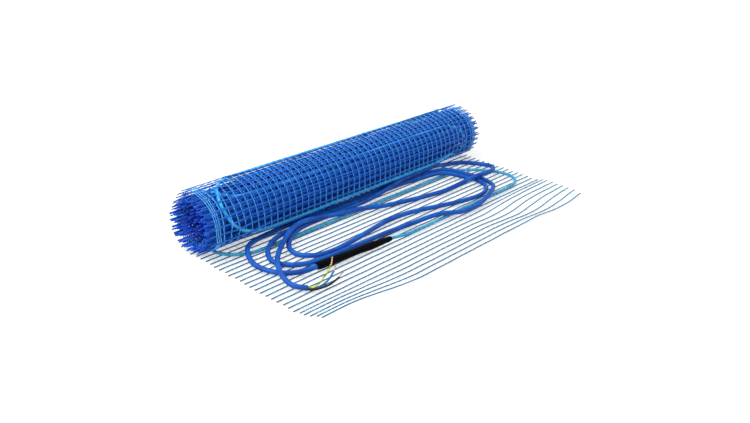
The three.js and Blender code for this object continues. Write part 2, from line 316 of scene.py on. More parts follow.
def coated_roving(name, colours, tip_colour):
    material, tree, surface = finish_named(name, Roughness=0.5, IOR=1.52, Specular_IOR_Level=0.2)
    place = node(tree, "TexCoord").outputs["Object"]
    # the distance to the roll's axis picks the painted shade, painted bounce light and painted highlight of
    # the rolled strands
    depth = depth_in_roll(tree, place)
    pooled = node(tree, "TexNoise", {"Vector": place, "Scale": 1 / POOL_SIZE, "Detail": 3.0}).outputs["Fac"]
    uneven = node(tree, "Math", {0: pooled, 1: POOL_STRENGTH, 2: depth}, operation="MULTIPLY_ADD")
    evened = node(tree, "Math", {0: uneven.outputs[0], 1: POOL_STRENGTH / 2}, operation="SUBTRACT")
    coloured = node(tree, "ValToRGB", {"Fac": evened.outputs[0]}, stops=colours).outputs["Color"]
    x = node(tree, "SeparateXYZ", {0: place}).outputs["X"]
    out = node(tree, "Math", {0: x}, operation="ABSOLUTE").outputs[0]
    # the cut ends of the laid part and of the outer turns are mixed towards a darker tip colour
    tip = node(tree, "MapRange", {
        "Value": out, "From Min": HALF_WIDTH - FRINGE, "From Max": HALF_WIDTH - 0.3 * FRINGE, "To Max": 0.6,
    }).outputs["Result"]
    outer = node(tree, "MapRange", {
        "Value": depth, "From Min": DARK_TIP_DEPTH[0], "From Max": DARK_TIP_DEPTH[1],
    })
    darker_tip_share = node(tree, "Math", {0: tip, 1: outer.outputs["Result"]}, operation="MULTIPLY").outputs[0]
    tipped = node(tree, "Mix", {0: darker_tip_share, 6: coloured, 7: linear(tip_colour)}, data_type="RGBA").outputs[2]
    fibres = node(tree, "TexNoise", {"Vector": place, "Scale": 1 / RIDGE_SIZE, "Detail": 2.0})
    ridges = node(tree, "Bump", {
        "Height": fibres.outputs["Fac"], "Strength": 0.25, "Distance": RIDGE_HEIGHT,
    })
    tree.links.new(tipped, surface.inputs["Base Color"])
    tree.links.new(ridges.outputs["Normal"], surface.inputs["Normal"])
    return material


laid_strand = coated_roving(
    "PVC-coated glass roving, laid", [(0.82, "#0c3a5c"), (1.0, "#1d5f86")], "#1c3f5c",
)
# rolled copy: painted blue bounce light all over, painted shade deeper in, and a painted highlight at 0.53
# on the innermost turn of the tight band
rolled_strand = coated_roving(
    "PVC-coated glass roving, rolled",
    [
        (0.35, "#0034b0"), (0.46, "#0038b0"), (0.53, "#1478e0"), (0.6, "#0048be"), (0.76, "#0050b8"),
        (0.87, "#0056b4"), (1.0, "#0a66bc"),
    ],
    "#062a74",
)
print("made:", laid_strand.name, "and", rolled_strand.name)

# %% [markdown]
# ** Bare glass thread.** The warp threads are thin twisted glass yarn with little coating. They are almost white, so they vanish against a pale floor. On the roll they are painted light blue, a painted reflection of the blue roll. Deep in the roll they get painted shade, as dark as the strands around them, and the innermost turn of the tight band gets a painted highlight. All of it is read from the distance to the roll's axis. The twist is drawn nearly as coarse as the ridges.

# %% Threads
TWIST_SIZE = 0.8333 * MM
TWIST_HEIGHT = 0.1 * MM


def glass_thread(name, colours, rough):
    material, tree, surface = finish_named(name, Roughness=rough, IOR=1.5, Specular_IOR_Level=0.3)
    place = node(tree, "TexCoord").outputs["Object"]
    # colour by depth in the roll: painted reflection of the blue roll, painted shade deeper in, painted
    # highlight at the innermost turn
    coloured = node(tree, "ValToRGB", {"Fac": depth_in_roll(tree, place)}, stops=colours).outputs["Color"]
    twist = node(tree, "TexNoise", {"Vector": place, "Scale": 1 / TWIST_SIZE, "Detail": 1.0}).outputs["Fac"]
    bump = node(tree, "Bump", {"Height": twist, "Strength": 0.2, "Distance": TWIST_HEIGHT})
    tree.links.new(coloured, surface.inputs["Base Color"])
    tree.links.new(bump.outputs["Normal"], surface.inputs["Normal"])
    return material


laid_thread = glass_thread("twisted glass yarn, laid", [(0.0, "#a8d6e6"), (1.0, "#c2e6f0")], 0.5)
# painted shade inside, a painted highlight at 0.53, painted light-blue reflection at the outer turn
rolled_thread = glass_thread(
    "twisted glass yarn, rolled",
    [
        (0.44, "#0040b4"), (0.53, "#3f90ea"), (0.6, "#0046b4"), (0.72, "#0a5abc"), (0.8, "#2f86dc"),
        (0.86, "#64b6f6"),
    ],
    0.45,
)
stitch_thread = glass_thread("polyester sewing thread", [(0.6, "#7cc2fb"), (1.0, "#a8cfe4")], 0.6)
print("made:", laid_thread.name + ",", rolled_thread.name, "and", stitch_thread.name)

# %% [markdown]
# ** Extruded cable jackets.** A jacket is pulled through a die, which leaves it smooth along its length with a faint waviness from the wires inside, one wave for each turn of their lay. It is soft plastic with a satin gloss, and light scuffs of a finger's width where the loops rubbed on each other. The copy for the rolled cable is painted a deeper blue, a painted reflection of the blue mesh around it. The cable between the turns is painted lighter, painted light against the shade of the mesh over it, so that it shows through that mesh, as on the real roll.

# %% Jackets
SCUFF_SIZE = 18.18 * MM
WIRE_LAY = 11.11 * MM
WIRE_RIPPLE = 0.6 * MM


def jacket(name, colour, scuffed, rough, ripple):
    material, tree, surface = finish_named(
        name, IOR=1.5, Specular_IOR_Level=0.2, Coat_Weight=0.03, Coat_Roughness=0.3,
    )
    place = node(tree, "TexCoord").outputs["Object"]
    scuffs = node(tree, "TexNoise", {
        "Vector": place, "Scale": 1 / SCUFF_SIZE, "Detail": 4.0, "Roughness": 0.6,
    })
    worn = scuffs.outputs["Fac"]
    coloured = node(tree, "ValToRGB", {"Fac": worn}, stops=[(0.38, colour), (0.72, scuffed)])
    gloss = node(tree, "MapRange", {"Value": worn, "To Min": rough, "To Max": rough + 0.2})
    wires = node(tree, "TexNoise", {"Vector": place, "Scale": 1 / WIRE_LAY, "Detail": 2.0}).outputs["Fac"]
    bump = node(tree, "Bump", {"Height": wires, "Strength": ripple, "Distance": WIRE_RIPPLE})
    tree.links.new(coloured.outputs["Color"], surface.inputs["Base Color"])
    tree.links.new(gloss.outputs["Result"], surface.inputs["Roughness"])
    tree.links.new(bump.outputs["Normal"], surface.inputs["Normal"])
    return material


lead_jacket = jacket("PVC lead sheath, extruded", "#003c94", "#085cb4", 0.4, 0.25)
cable_jacket = jacket("fluoropolymer cable jacket, laid", "#1a80ac", "#42a2c6", 0.32, 0.2)
# painted light: a bluer copy for the rolled cable, a painted reflection of the blue mesh, and a lighter
# copy for the cable between the turns, against the mesh's shade
wound_jacket_painted_reflection = jacket("fluoropolymer cable jacket, rolled", "#1a88d0", "#44b4e8", 0.32, 0.2)
inner_jacket_painted_light = jacket("fluoropolymer cable jacket, between the turns", "#30a8f0", "#66ccff", 0.32, 0.2)
blue_insulation = jacket("PVC core insulation, blue", "#0f5f9c", "#2a7db4", 0.4, 0.1)
brown_insulation = jacket("PVC core insulation, brown", "#1e1512", "#35231c", 0.4, 0.1)
lead.data.materials.append(lead_jacket)
print("the lead wears", lead_jacket.name)

# %% [markdown]
# The earth core has two colours, green and yellow, extruded side by side and twisted round the core. To
# the eye it is a striped thread. A stripe on Object coordinates would not follow the core's bend, but the
# tube's UV map does: u runs along it in metres and v runs once round it. Their sum is a helix.

# %% Earth core insulation
STRIPE_TURN = 13.333 * MM
earth_insulation, earth_tree, earth_surface = finish_named(
    "PVC core insulation, green and yellow", Roughness=0.42, IOR=1.5, Specular_IOR_Level=0.35,
)
wrap = node(earth_tree, "SeparateXYZ", {0: node(earth_tree, "TexCoord").outputs["UV"]})
twisted = node(
    earth_tree, "Math", {0: wrap.outputs["X"], 1: 1 / STRIPE_TURN, 2: wrap.outputs["Y"]},
    operation="MULTIPLY_ADD",
)
share = node(earth_tree, "Math", {0: twisted.outputs[0]}, operation="FRACT")
stripe = node(
    earth_tree, "ValToRGB", {"Fac": share.outputs[0]},
    stops=[(0.0, "#4a7f38"), (0.4, "#4a7f38"), (0.44, "#c8bc48"), (0.96, "#c8bc48"), (1.0, "#4a7f38")],
)
earth_tree.links.new(stripe.outputs["Color"], earth_surface.inputs["Base Color"])
print("the stripes go once round the core in", round(STRIPE_TURN / MM, 1), "mm")

# %% [markdown]
# **Heat-shrink tube.** The splice is closed with black polyolefin tube that was shrunk with a hot-air
# gun. It is nearly matt, with a soft sheen, and slightly uneven where it drew tight over the crimps
# inside.
#
# **Bare copper.** The wires were drawn through dies and are bright pink-orange, a little dull where
# fingers touched them. It is a metal, so its colour is the colour of its reflections.

# %% Heat-shrink and copper
CRIMP_SIZE = 8.333 * MM
WRINKLE_HEIGHT = 0.8 * MM
TARNISH_SIZE = 1.4286 * MM
shrink_tube, shrink_tree, shrink_surface = finish_named(
    "polyolefin heat-shrink tube", IOR=1.5, Specular_IOR_Level=0.04,
)
shrink_place = node(shrink_tree, "TexCoord").outputs["Object"]
crimps = node(shrink_tree, "TexNoise", {"Vector": shrink_place, "Scale": 1 / CRIMP_SIZE, "Detail": 4.0})
drawn = crimps.outputs["Fac"]
blackness = node(shrink_tree, "ValToRGB", {"Fac": drawn}, stops=[(0.35, "#010102"), (0.7, "#06060a")])
sheen = node(shrink_tree, "MapRange", {"Value": drawn, "To Min": 0.38, "To Max": 0.62})
wrinkle = node(shrink_tree, "Bump", {"Height": drawn, "Strength": 0.35, "Distance": WRINKLE_HEIGHT})
shrink_tree.links.new(blackness.outputs["Color"], shrink_surface.inputs["Base Color"])
shrink_tree.links.new(sheen.outputs["Result"], shrink_surface.inputs["Roughness"])
shrink_tree.links.new(wrinkle.outputs["Normal"], shrink_surface.inputs["Normal"])

copper, copper_tree, copper_surface = finish_named("bare copper, drawn", Metallic=1.0)
copper_place = node(copper_tree, "TexCoord").outputs["Object"]
dulled = node(copper_tree, "TexNoise", {"Vector": copper_place, "Scale": 1 / TARNISH_SIZE, "Detail": 3.0})
tarnish = dulled.outputs["Fac"]
tone = node(copper_tree, "ValToRGB", {"Fac": tarnish}, stops=[(0.35, "#c08672"), (0.65, "#ecbca6")])
polish = node(copper_tree, "MapRange", {"Value": tarnish, "To Min": 0.25, "To Max": 0.45})
copper_tree.links.new(tone.outputs["Color"], copper_surface.inputs["Base Color"])
copper_tree.links.new(polish.outputs["Result"], copper_surface.inputs["Roughness"])
print(len(bpy.data.materials), "materials made")

# %% [markdown]
# ## How the mesh is wound
# The mat is first thought of as flat: x across it, s along it from the roll's floor line (laid part below
# zero, rolled part above), and h above its middle. One function then puts any such place where it really
# is. A Simple Deform or Curve modifier could wind it up too, but neither keeps one turn clear of the
# next, or lets a turn step over a cable. The radius falls as the turns go in: a tight band of turns and a
# loose eye. The second turn swells where a cable lies on it. Each row of the list is a number of turns
# and a radius.

# %% The spiral of the roll
OUTER_RADIUS = ROLL_RADIUS - MESH_LEVEL
SPIRAL = [
    (0, 34.75), (0.5, 34.75), (0.86, 34.75), (1.0, 33.2), (1.25, 33.5), (1.38, 34.7), (1.48, 34.7),
    (1.64, 33.3), (2.0, 32.1), (3.0, 31.0),
    (4.0, 29.9), (5.0, 28.8), (6.0, 27.7), (7.0, 26.6), (8.0, 25.5), (8.5, 21.5), (9.0, 17.5),
    (9.5, 14.5), (10.0, 12.2), (10.8, 9.5), (11.5, 7.0),
]
TURN_WEIGHT = 100
SPIRAL_STEPS = 6000
spiral_line = smooth_route([(turn * TURN_WEIGHT, radius) for turn, radius in SPIRAL], 24)
turns_fine = np.linspace(0, SPIRAL[-1][0], SPIRAL_STEPS)
radius_fine = np.interp(turns_fine, spiral_line[:, 0] / TURN_WEIGHT, spiral_line[:, 1]) * MM
run_fine = np.concatenate([[0], np.cumsum(np.diff(turns_fine) * 2 * math.pi * radius_fine[1:])])
ROLLED_LENGTH = float(run_fine[-1])
print("rolled up:", round(ROLLED_LENGTH, 3), "m of mesh in", SPIRAL[-1][0], "turns")


def turns_at(s):
    return np.interp(s, run_fine, turns_fine)


def radius_at(turns):
    return np.interp(turns, turns_fine, radius_fine)


# %% [markdown]
# Hand-rolled turns never lie edge on edge: each turn sits a few millimetres to one side of the turn
# around it. So its warps fill the openings of the turn outside, and the roll looks dense. Random drift
# would do, but a short list keeps the turns that show apart by half an opening. Each row is a turn and
# its drift to the right.

# %% Let the turns drift sideways
DRIFT = [
    (0.88, 0), (1.08, 4.4), (1.9, 4.0), (2.1, -2.6), (2.9, -2.2), (3.1, 2.0), (3.9, 2.4), (4.1, -3.8),
    (5.0, 1.0), (6.0, -3.0), (7.0, 3.2), (8.0, -1.5), (9.0, 2.0), (10.0, -2.0), (11.5, 1.0),
]
drift_turns, drift_across = np.array(DRIFT).T


def drift_at(turns):
    return np.interp(turns, drift_turns, drift_across) * MM


print("the turns drift by up to", float(np.abs(drift_across).max()), "mm")

# %% [markdown]
# The cable runs to and fro on the mesh, 85 mm apart, and is wound up with it. A place on it is x, s and a
# rise off the mesh: below zero it lies inside its turn of mesh, and above zero it stands out and the mesh
# is stretched over it. The turn that shows most, at the front and the back of the roll, stands out.

# %% The cable's way through the turns
def at_roll(x, degrees, radius):
    angle = math.radians(degrees)
    return (x, ROLL_Y + radius * math.sin(angle), ROLL_RADIUS - radius * math.cos(angle))


def on_spiral(places):
    line = []
    for x, s, rise in places:
        turns = turns_at(max(s, 0))
        if s > 0:
            line.append(at_roll(x, turns * 360, radius_at(turns) + rise))
        else:
            line.append((x, ROLL_Y + s, MESH_LEVEL - rise))
    return np.array(line)


WOUND_POINTS = [
    (205, 162), (100, 158), (0, 156), (-100, 155), (-160, 156), (-190, 164), (-212, 185), (-223, 210),
    (-225, 235), (-217, 262), (-198, 284), (-172, 296), (-135, 300), (-60, 299), (40, 298), (150, 298),
]
WOUND_RADIUS = ROLL_RADIUS + SEAT_GAP + CABLE_DIAMETER / 2
wound_line = smooth_route([at_roll(x * MM, a, WOUND_RADIUS) for x, a in WOUND_POINTS], 8)
print("the cable that stands out is", round(float(run_along(wound_line)[-1]), 3), "m")

# %% [markdown]
# The cable goes on at both ends of the turn that stands out. One end comes from the laid part, under the
# roll and up its front. The other dives under its own turn of mesh and runs on to and fro between the
# inner turns, where it shines through. Its straight runs and round turns come from a loop, and four runs
# are all that can be seen.

# %% The cable's hidden ends: under the roll, and on through the inner turns
INSIDE = -(MESH_TOP + SEAT_GAP + CABLE_DIAMETER / 2 - MESH_LEVEL) / MM
OUTSIDE = (WOUND_RADIUS - OUTER_RADIUS) / MM
UNDER_POINTS = [
    (-229, -22, INSIDE), (-228, -8, INSIDE), (-220, 5, INSIDE), (-204, 15, INSIDE), (-178, 19, INSIDE),
    (0, 20, INSIDE), (178, 21, INSIDE), (204, 29, INSIDE), (218, 43, INSIDE), (223, 60, -1), (219, 79, 1.6),
    (205, WOUND_POINTS[0][1] / 360 * 2 * math.pi * OUTER_RADIUS / MM, OUTSIDE),
]
under_route = smooth_route(UNDER_POINTS, 8) * MM
under_line = on_spiral(under_route)

RUN_PITCH = 82.5
HIDDEN_RUNS = 4
TURN_X = 182
TURN_STEPS = 8
DIVE = [0, 12, 45]
DIVE_RISES = [OUTSIDE, OUTSIDE - 0.6, INSIDE]
run_ends = [WOUND_POINTS[-1][1] / 360 * 2 * math.pi * OUTER_RADIUS / MM]
for number in range(HIDDEN_RUNS):
    run_ends.append(run_ends[-1] + RUN_PITCH)
inner_places = [(WOUND_POINTS[-1][0], run_ends[0])]
side = 1
for low, high in zip(run_ends, run_ends[1:]):
    for step in range(TURN_STEPS + 1):
        turn = math.pi * step / TURN_STEPS
        reach = TURN_X + RUN_PITCH / 2 * math.sin(turn)
        inner_places.append((side * reach, (low + high) / 2 - RUN_PITCH / 2 * math.cos(turn)))
    side = -side
inner_places.append((0, run_ends[-1]))
inner_flat = smooth_route(inner_places, 6)
inner_run = run_along(inner_flat)
inner_rise = np.interp(inner_run, DIVE, DIVE_RISES)
inner_route = np.column_stack([inner_flat, inner_rise]) * MM
inner_line = on_spiral(inner_route)
print(HIDDEN_RUNS, "hidden runs inside the roll,", round(float(inner_run[-1]) * MM, 2), "m of cable")

# %% [markdown]
# Where the cable stands out, the mesh stands up over it like a tent: its threads run straight from the
# cable's top down to the roll. A cloth simulation of some hundred thousand thread pieces would be slow,
# so the tent is a height field over the outer turn, by x and by the way round. The strands are stiff, so
# the field is evened out along x, and past the cable's turns they stay up to their ends.

# %% The tent of the mesh over the cable
THREAD_CLEARANCE = 0.2 * MM
COVER = CABLE_DIAMETER / 2 + WEFT_HEIGHT + THREAD_CLEARANCE
STIFF_FROM = 190 * MM
STIFF_HOLD = 0.9
PROUD_ABOVE = -2 * MM
LEAST_LIFT = 0.1 * MM
RIDGE_ROUNDING = 0.4 * MM
FIELD_COLUMNS = 126
FIELD_ROWS = 110
EVEN_OVER = 7
EVEN_SPREAD = 2.8
hidden_route = np.concatenate([under_route, inner_route])
proud = [(x, s, rise) for x, s, rise in hidden_route if s > 0 and rise > PROUD_ABOVE]
proud += [
    (x, (math.atan2(y - ROLL_Y, ROLL_RADIUS - z) % (2 * math.pi)) * OUTER_RADIUS, OUTSIDE * MM)
    for x, y, z in wound_line
]
lift_x = np.linspace(-HALF_WIDTH, HALF_WIDTH, FIELD_COLUMNS)
lift_run = np.linspace(0, 2 * math.pi * OUTER_RADIUS, FIELD_ROWS)
lift_field = np.zeros((len(lift_x), len(lift_run)))
for x, s, rise in proud:
    need = max(rise + COVER, LEAST_LIFT)
    away = np.sqrt((lift_x[:, None] - x) ** 2 + (lift_run[None, :] - s) ** 2 + RIDGE_ROUNDING ** 2)
    tent = need * np.clip(1 - away / math.sqrt(2 * need * OUTER_RADIUS), 0, 1) ** 2
    lift_field = np.maximum(lift_field, tent)
kernel = np.exp(-0.5 * (np.arange(-EVEN_OVER, EVEN_OVER + 1) / EVEN_SPREAD) ** 2)
padded_field = np.pad(lift_field, ((EVEN_OVER, EVEN_OVER), (0, 0)), mode="edge")
stiff_field = np.array([
    np.tensordot(kernel / kernel.sum(), padded_field[i:i + len(kernel)], 1) for i in range(len(lift_x))
])
lift_field = np.maximum(lift_field, stiff_field)
for past_turn in (lift_x < -STIFF_FROM, lift_x > STIFF_FROM):
    edge = lift_field[~past_turn][0 if past_turn[0] else -1]
    lift_field[past_turn] = np.maximum(lift_field[past_turn], edge * STIFF_HOLD)
print("the mesh stands up to", round(float(lift_field.max()) / MM, 1), "mm off the roll over the cable")


def lift_at(x, s):
    column = np.clip((x - lift_x[0]) / (lift_x[1] - lift_x[0]), 0, len(lift_x) - 1.001)
    row = np.clip(s / (lift_run[1] - lift_run[0]), 0, len(lift_run) - 1.001)
    i, j = column.astype(int), row.astype(int)
    u, v = column - i, row - j
    low = lift_field[i, j] * (1 - u) + lift_field[i + 1, j] * u
    high = lift_field[i, j + 1] * (1 - u) + lift_field[i + 1, j + 1] * u
    return np.where((s > 0) & (s < lift_run[-1]), low * (1 - v) + high * v, 0)


# %% [markdown]
# The loose edge of the laid part curls up at its left corner, because it was the outside of the roll for
# months. At the right the mesh lies in a gentle wave: one slanting fold slides forward, the mesh behind
# it stands a few millimetres off the floor, and a low ripple runs before it. A few eased slopes shape
# that, and every strand and thread then follows them alike.

# %% Put a flat place where it really is
CURL_HEIGHT = 13 * MM
CURL_DEPTH = 40 * MM
CURL_FULL_X = -225 * MM
CURL_END_X = -90 * MM
LAID_REACH = FIRST_WEFT + (LAID_WEFTS - 1) * WEFT_PITCH
FOLD_PLACE = (110 * MM, -176.5 * MM)
FOLD_ACROSS = (0.304, 0.953)
FOLD_SLIDE = 5.5 * MM
SLIDE_GROWS = (40 * MM, 140 * MM)
SLIDE_MIDDLE = -4 * MM
SLIDE_REACH = 18 * MM
FOLD_RISE = 4.5 * MM
RISE_GROWS = (40 * MM, 200 * MM)
RISE_SLOPE = (-12 * MM, 30 * MM)
FLAT_AGAIN = (-160 * MM, -141 * MM)
RIPPLE_RISE = 1.5 * MM
RIPPLE_MIDDLE = -24 * MM
RIPPLE_REACH = 9 * MM
RIPPLE_GROWS = (95 * MM, 145 * MM)
RIPPLE_FADES = (170 * MM, 210 * MM)


def ease(value, start, end):
    share = np.clip((value - start) / (end - start), 0, 1)
    return share * share * (3 - 2 * share)


def curl_at(x, s):
    across = np.clip(1 - np.clip(LAID_REACH + s, 0, None) / CURL_DEPTH, 0, 1)
    return CURL_HEIGHT * ease(-x, -CURL_END_X, -CURL_FULL_X) * across ** 1.2


def wave_at(x, s):
    behind = (x - FOLD_PLACE[0]) * FOLD_ACROSS[0] + (s - FOLD_PLACE[1]) * FOLD_ACROSS[1]
    slide = FOLD_SLIDE * ease(x, *SLIDE_GROWS) * np.exp(-((behind - SLIDE_MIDDLE) / SLIDE_REACH) ** 2)
    rise = FOLD_RISE * ease(x, *RISE_GROWS) * ease(behind, *RISE_SLOPE) * (1 - ease(s, *FLAT_AGAIN))
    ripple = RIPPLE_RISE * np.exp(-((behind - RIPPLE_MIDDLE) / RIPPLE_REACH) ** 2)
    ripple = ripple * ease(x, *RIPPLE_GROWS) * (1 - ease(x, *RIPPLE_FADES))
    return slide, rise + ripple


def lay(flat, middle=None):
    x, s, h = flat[:, 0], flat[:, 1], flat[:, 2]
    middle = s if middle is None else middle
    turns = turns_at(np.maximum(s, 0))
    radius = radius_at(turns) + lift_at(x, s) - h
    angle = turns * 2 * math.pi
    rolled_y = ROLL_Y + radius * np.sin(angle)
    rolled_z = ROLL_RADIUS - radius * np.cos(angle)
    rolled = np.stack([x + drift_at(turns), rolled_y, rolled_z], axis=1)
    slide, rise = wave_at(x, middle)
    level = MESH_LEVEL + curl_at(x, middle) + rise + h
    laid = np.stack([x, ROLL_Y + s - slide, level], axis=1)
    return np.where((s > 0)[:, None], rolled, laid)


quarter_way = lay(np.array([[0.0, OUTER_RADIUS * math.pi / 2, 0.0]]))[0]
print("a place a quarter turn up the roll lies at", quarter_way.round(4).tolist())

# %% [markdown]
# ## Weaving the mesh
# A strand starts as a thin cylinder. Its long edges are subdivided so that it can bend, and an Array
# modifier makes the row of strands. Instances would be lighter, but each strand bends in its own way. So
# code moves the points: every strand wanders a little, as hand-rolled mesh does, and only then is the row
# laid out or wound up.

# %% A row of strands from one cylinder
def row_of_strands(name, length, width, height, cuts, count, sides, along):
    bpy.ops.object.select_all(action="DESELECT")
    bpy.ops.mesh.primitive_cylinder_add(
        vertices=sides, radius=0.5, depth=length, rotation=(0, math.pi / 2, 0),
    )
    strand = bpy.context.object
    strand.name = strand.data.name = name
    bpy.ops.object.transform_apply(location=False, rotation=True, scale=False)
    bpy.ops.object.mode_set(mode="EDIT")
    bpy.ops.mesh.select_all(action="DESELECT")
    shape = bmesh.from_edit_mesh(strand.data)
    for edge in shape.edges:
        edge.select_set(abs(edge.verts[0].co.x - edge.verts[1].co.x) > length / 2)
    bmesh.update_edit_mesh(strand.data)
    bpy.ops.mesh.subdivide(number_cuts=cuts)
    bpy.ops.object.mode_set(mode="OBJECT")
    strand.scale = (1, width, height)
    bpy.ops.object.transform_apply(location=False, rotation=False, scale=True)
    if along:
        strand.rotation_euler = (0, 0, math.pi / 2)
        bpy.ops.object.transform_apply(location=False, rotation=True, scale=False)
    copies = strand.modifiers.new("row", "ARRAY")
    copies.use_relative_offset = False
    copies.use_constant_offset = True
    copies.constant_offset_displace = (0, 0, 0)
    copies.count = count
    bpy.ops.object.modifier_apply(modifier="row")
    strand.data.shade_smooth()
    return strand


def points_of(piece, count):
    flat = np.zeros(len(piece.data.vertices) * 3)
    piece.data.vertices.foreach_get("co", flat)
    return flat.reshape(count, -1, 3)


def set_points(piece, points):
    piece.data.vertices.foreach_set("co", points.ravel().astype(np.float32))
    piece.data.update()


print("a row is one cylinder, cut across and repeated, with its points moved afterwards")

# %% [markdown]
# The wefts are the thick strands across the mat. They stick out past the last warp as a fringe whose ends
# were never cut quite straight. Three sine waves of unlike lengths make a strand wander, which stays
# smooth where noise at each point would kink it. Inside the roll the strands lie looser. A weft's own
# middle says how high the fold lifts it, so that its section keeps its shape.

# %% Weave the wefts
LOOSE_FROM = 2 * math.pi * OUTER_RADIUS
LOOSER = 2.4
TRIM = 0.28
SWAY_WAVE = 0.21
BOUNCE_WAVE = 0.13
OVERTONES = [1.0, 0.47, 0.21]
dice = np.random.default_rng(7)


def wander(x, size, wave, count):
    phase = dice.uniform(0, 2 * math.pi, (count, 3, 1))
    share = dice.uniform(0.5, 1.0, (count, 3, 1))
    waves = wave * np.array(OVERTONES)[None, :, None]
    return size * (share * np.sin(2 * math.pi * x[:, None, :] / waves + phase)).sum(axis=1) / 3


def weave_wefts(name, places, cuts, sway, bounce, material, sides=6):
    count = len(places)
    row = row_of_strands(name, 2 * HALF_WIDTH, WEFT_WIDTH, WEFT_HEIGHT, cuts, count, sides, False)
    points = points_of(row, count)
    x = points[:, :, 0]
    past = np.clip(np.abs(x) - (HALF_WIDTH - FRINGE), 0, None)
    trim = np.where(x < 0, dice.uniform(0, TRIM, (count, 1)), dice.uniform(0, TRIM, (count, 1)))
    points[:, :, 0] = x - np.sign(x) * past * trim
    loose = np.where(places > LOOSE_FROM, LOOSER, 1.0)[:, None]
    middle = places[:, None] + wander(x, sway, SWAY_WAVE, count) * loose
    points[:, :, 1] += middle
    points[:, :, 2] += wander(x, bounce, BOUNCE_WAVE, count) * loose
    set_points(row, lay(points.reshape(-1, 3), middle.ravel()))
    row.data.materials.append(material)
    return row


laid_places = -(FIRST_WEFT + np.arange(LAID_WEFTS) * WEFT_PITCH)
rolled_places = np.arange(-FIRST_WEFT + WEFT_PITCH, ROLLED_LENGTH, WEFT_PITCH)
laid_wefts = weave_wefts("laid_wefts", laid_places, 60, 0.5 * MM, 0.12 * MM, laid_strand)
rolled_wefts = weave_wefts("rolled_wefts", rolled_places, 40, 0.7 * MM, 0.35 * MM, rolled_strand)
print(len(laid_places), "wefts laid out and", len(rolled_places), "rolled up")

# %% [markdown]
# The warps are pairs of thin threads. Weavers call it a leno weave: at every weft one thread passes over
# and the other under, and between two wefts they twist round each other, which is what locks the open
# mesh. A cosine of the way along makes both moves. Near each side two more pairs make a firm edge. The
# inner turns hardly show, so their threads have half as many bends.

# %% Weave the warps
LENO_SPREAD = 0.42 * MM
LENO_RISE = 0.6 * MM
WARPS = int(round((2 * HALF_WIDTH - 2 * FRINGE) / WARP_PITCH)) + 1
SELVEDGE = [2.6 * MM, 5.2 * MM]
warp_places = [(i - (WARPS - 1) / 2) * WARP_PITCH for i in range(WARPS)]
for inwards in SELVEDGE:
    warp_places += [warp_places[0] + inwards, warp_places[WARPS - 1] - inwards]
warp_places = np.array(warp_places)
WARP_SWAY = 0.5 * MM
WARP_WAVE = 0.09


def weave_warps(name, start, end, material, thick, bends, sides):
    count = len(warp_places) * 2
    cuts = int(round((end - start) / WEFT_PITCH * bends)) - 1
    row = row_of_strands(name, end - start, thick, thick, cuts, count, sides, True)
    points = points_of(row, count)
    s = points[:, :, 1] + (start + end) / 2
    number = np.arange(count)
    over = np.where(number % 2 == 0, 1.0, -1.0)[:, None]
    phase = (s + FIRST_WEFT) / WEFT_PITCH * math.pi
    across = warp_places[number // 2]
    spread = over * LENO_SPREAD * np.cos(phase)
    points[:, :, 0] += across[:, None] + spread + wander(s, WARP_SWAY, WARP_WAVE, count)
    points[:, :, 1] = s
    points[:, :, 2] += over * LENO_RISE * np.cos(phase) ** 2
    set_points(row, lay(points.reshape(-1, 3)))
    row.data.materials.append(material)
    return row


OUTER_WEFTS = 54
OUTER_RUN = OUTER_WEFTS * WEFT_PITCH - FIRST_WEFT
INNER_WEFTS = int((ROLLED_LENGTH - OUTER_RUN) / WEFT_PITCH)
INNER_END = OUTER_RUN + INNER_WEFTS * WEFT_PITCH
laid_warps = weave_warps("laid_warps", -LAID_REACH - HEM, 0.0, laid_thread, LAID_THREAD, 2, 4)
rolled_warps = weave_warps("rolled_warps", 0.0, OUTER_RUN, rolled_thread, THREAD_DIAMETER, 2, 4)
inner_warps = weave_warps("inner_warps", OUTER_RUN, INNER_END, rolled_thread, THREAD_DIAMETER, 1, 3)
print(len(warp_places), "pairs of warp threads,", len(rolled_warps.data.polygons), "faces on the roll")

# %% [markdown]
# ## The heating cable
# The cable is 4 mm thick and light blue. Two runs show on the laid part, 85 mm apart, joined by a round
# turn at the right. At the left the cable turns in under the roll. The four lengths below are one cable:
# laid, under the roll, standing out on it and hidden in it. On the roll it takes on the blue of the mesh
# around it as a painted reflection in its jacket's colour, and the hidden length is painted lighter.

# %% Lay the heating cable
CABLE_LEVEL = MESH_TOP + SEAT_GAP + CABLE_DIAMETER / 2
CABLE_POINTS = [
    (-58.2, -133.2, (SLEEVE_LEVEL - CABLE_LEVEL) / MM), (-45, -134.6, 1.6), (-28, -135.5, 0),
    (60, -135.5, 0), (160, -135.5, 0), (194, -134.5, 0), (213, -129, 0), (224, -116, 0), (225, -100, 0),
    (215, -81, 0), (200, -63, 0), (180, -51.5, 0), (150, -50.5, 0), (60, -50.5, 0), (-60, -50.5, 0),
    (-180, -50.5, 0), (-200, -48.5, 0), (-214, -42, 0), (-224, -32, 0), (-229, -22, 0),
]
cable_line = smooth_route(on_mesh(CABLE_POINTS, CABLE_LEVEL), 8)
laid_cable = tube("laid_cable", cable_line, CABLE_DIAMETER / 2)
wound_cable = tube("wound_cable", wound_line, CABLE_DIAMETER / 2)
under_cable = tube("under_cable", under_line, CABLE_DIAMETER / 2)
INNER_SIDES = 8
inner_cable = tube("inner_cable", inner_line, CABLE_DIAMETER / 2, INNER_SIDES)
laid_cable.data.materials.append(cable_jacket)
